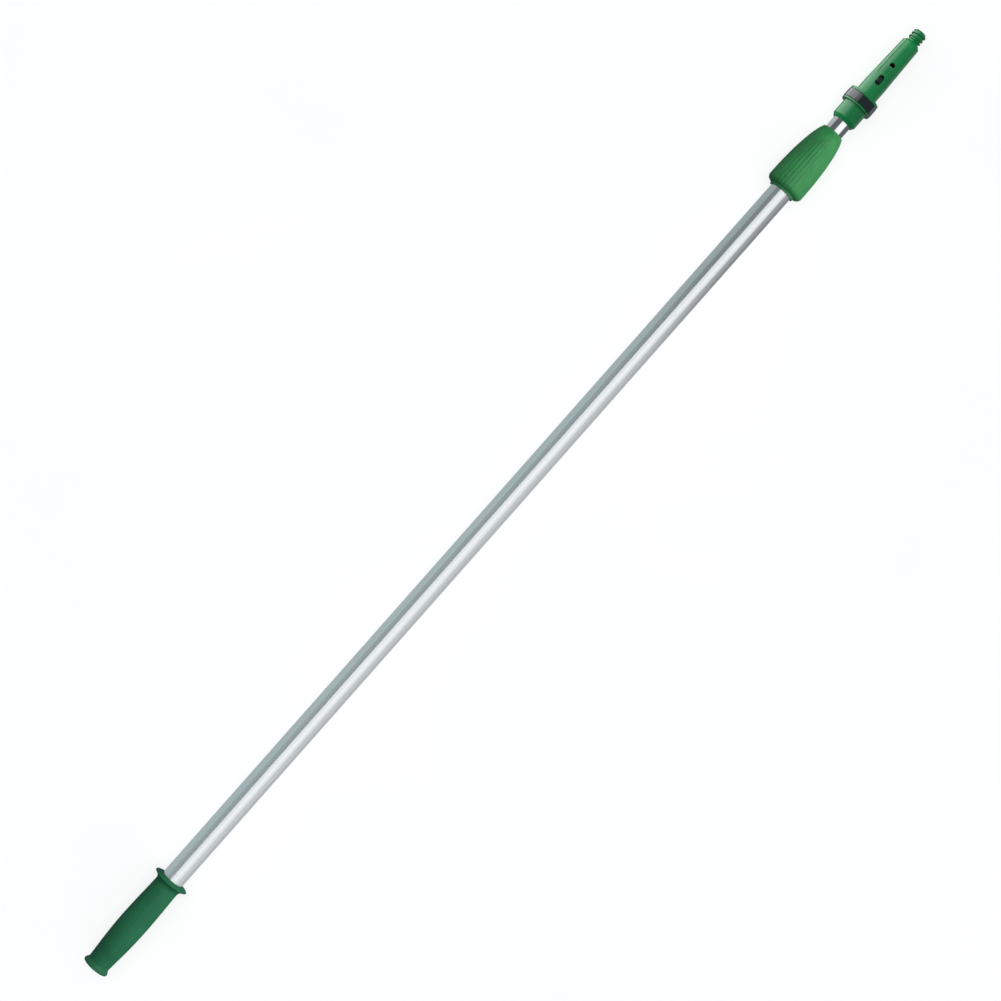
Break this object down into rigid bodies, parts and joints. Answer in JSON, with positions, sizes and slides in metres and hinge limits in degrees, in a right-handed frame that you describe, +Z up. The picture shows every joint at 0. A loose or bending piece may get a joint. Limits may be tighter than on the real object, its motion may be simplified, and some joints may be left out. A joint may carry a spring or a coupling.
{
  "type": "telescopic window cleaning pole",
  "caption": "Telescopic aluminium pole with a rubber grip, a twist clamp and a locking cone with a screw tip for window cleaning tools.",
  "frame": {"origin": "centre of the grip's butt face, on the axis of both tubes", "axes": "+X along the pole towards the screw tip, +Z up with the latch facing it"},
  "size_m": [1.5571, 0.0516, 0.0516],
  "materials": {
    "aluminium": "satin anodised, bright",
    "grip_rubber": "matte to satin",
    "clamp_green": "fine matte",
    "cone_green": "gloss",
    "black_plastic": "semi-gloss",
    "natural_plastic": "waxy matte",
    "seal_rubber": "matte",
    "steel": "zinc plated"
  },
  "bodies": {
    "outer_pole": {"outer_tube": "aluminium", "handle_grip": "grip_rubber", "butt_plug": "natural_plastic", "clamp_body": "clamp_green", "clamp_rivets": "aluminium", "stop_sleeve": "natural_plastic", "clamp_collet": "natural_plastic"},
    "clamp_ring": {"wedge_ring": "black_plastic", "thrust_washer": "steel"},
    "clamp_nut": {"clamp_nut": "clamp_green", "wiper_seal": "seal_rubber"},
    "guide": {"guide_bush": "natural_plastic"},
    "inner_pole": {"inner_tube": "aluminium", "inner_plug": "black_plastic", "plug_clip": "steel", "adapter_socket": "cone_green", "socket_screws": "steel", "tube_insert": "black_plastic", "core_screws": "steel", "adapter_cone": "cone_green", "guide_pins": "steel", "latch_spring": "steel"},
    "lock_ring": {"lock_ring": "black_plastic"},
    "latch": {"latch_bar": "black_plastic", "cam_peg": "steel"}
  },
  "joints": [
    {"name": "pole_extend", "type": "slide", "parent": "outer_pole", "child": "guide", "axis": [1, 0, 0], "range_m": [0, 1.195]},
    {"name": "pole_swivel", "type": "hinge", "parent": "guide", "child": "inner_pole", "pos_m": [0.05, 0, 0], "axis": [1, 0, 0], "continuous": true},
    {"name": "clamp_travel", "type": "slide", "parent": "outer_pole", "child": "clamp_ring", "axis": [1, 0, 0], "range_m": [0, 0.0025]},
    {"name": "clamp_turn", "type": "hinge", "parent": "clamp_ring", "child": "clamp_nut", "pos_m": [1.34, 0, 0], "axis": [1, 0, 0], "range_deg": [0, 180]},
    {"name": "lock_ring_turn", "type": "hinge", "parent": "inner_pole", "child": "lock_ring", "pos_m": [1.441, 0, 0], "axis": [1, 0, 0], "range_deg": [0, 60], "stiffness_Nm_per_rad": 0.05, "springref_deg": -28.65},
    {"name": "latch_slide", "type": "slide", "parent": "inner_pole", "child": "latch", "axis": [-0.7071, 0, -0.7071], "range_m": [0, 0.00311], "deforming": ["latch_spring"]}
  ],
  "couplings": [
    {"joint": "clamp_travel", "follows": "clamp_turn", "m_per_rad": 0.00079577},
    {"joint": "latch_slide", "follows": "lock_ring_turn", "m_per_rad": 0.002971}
  ]
}
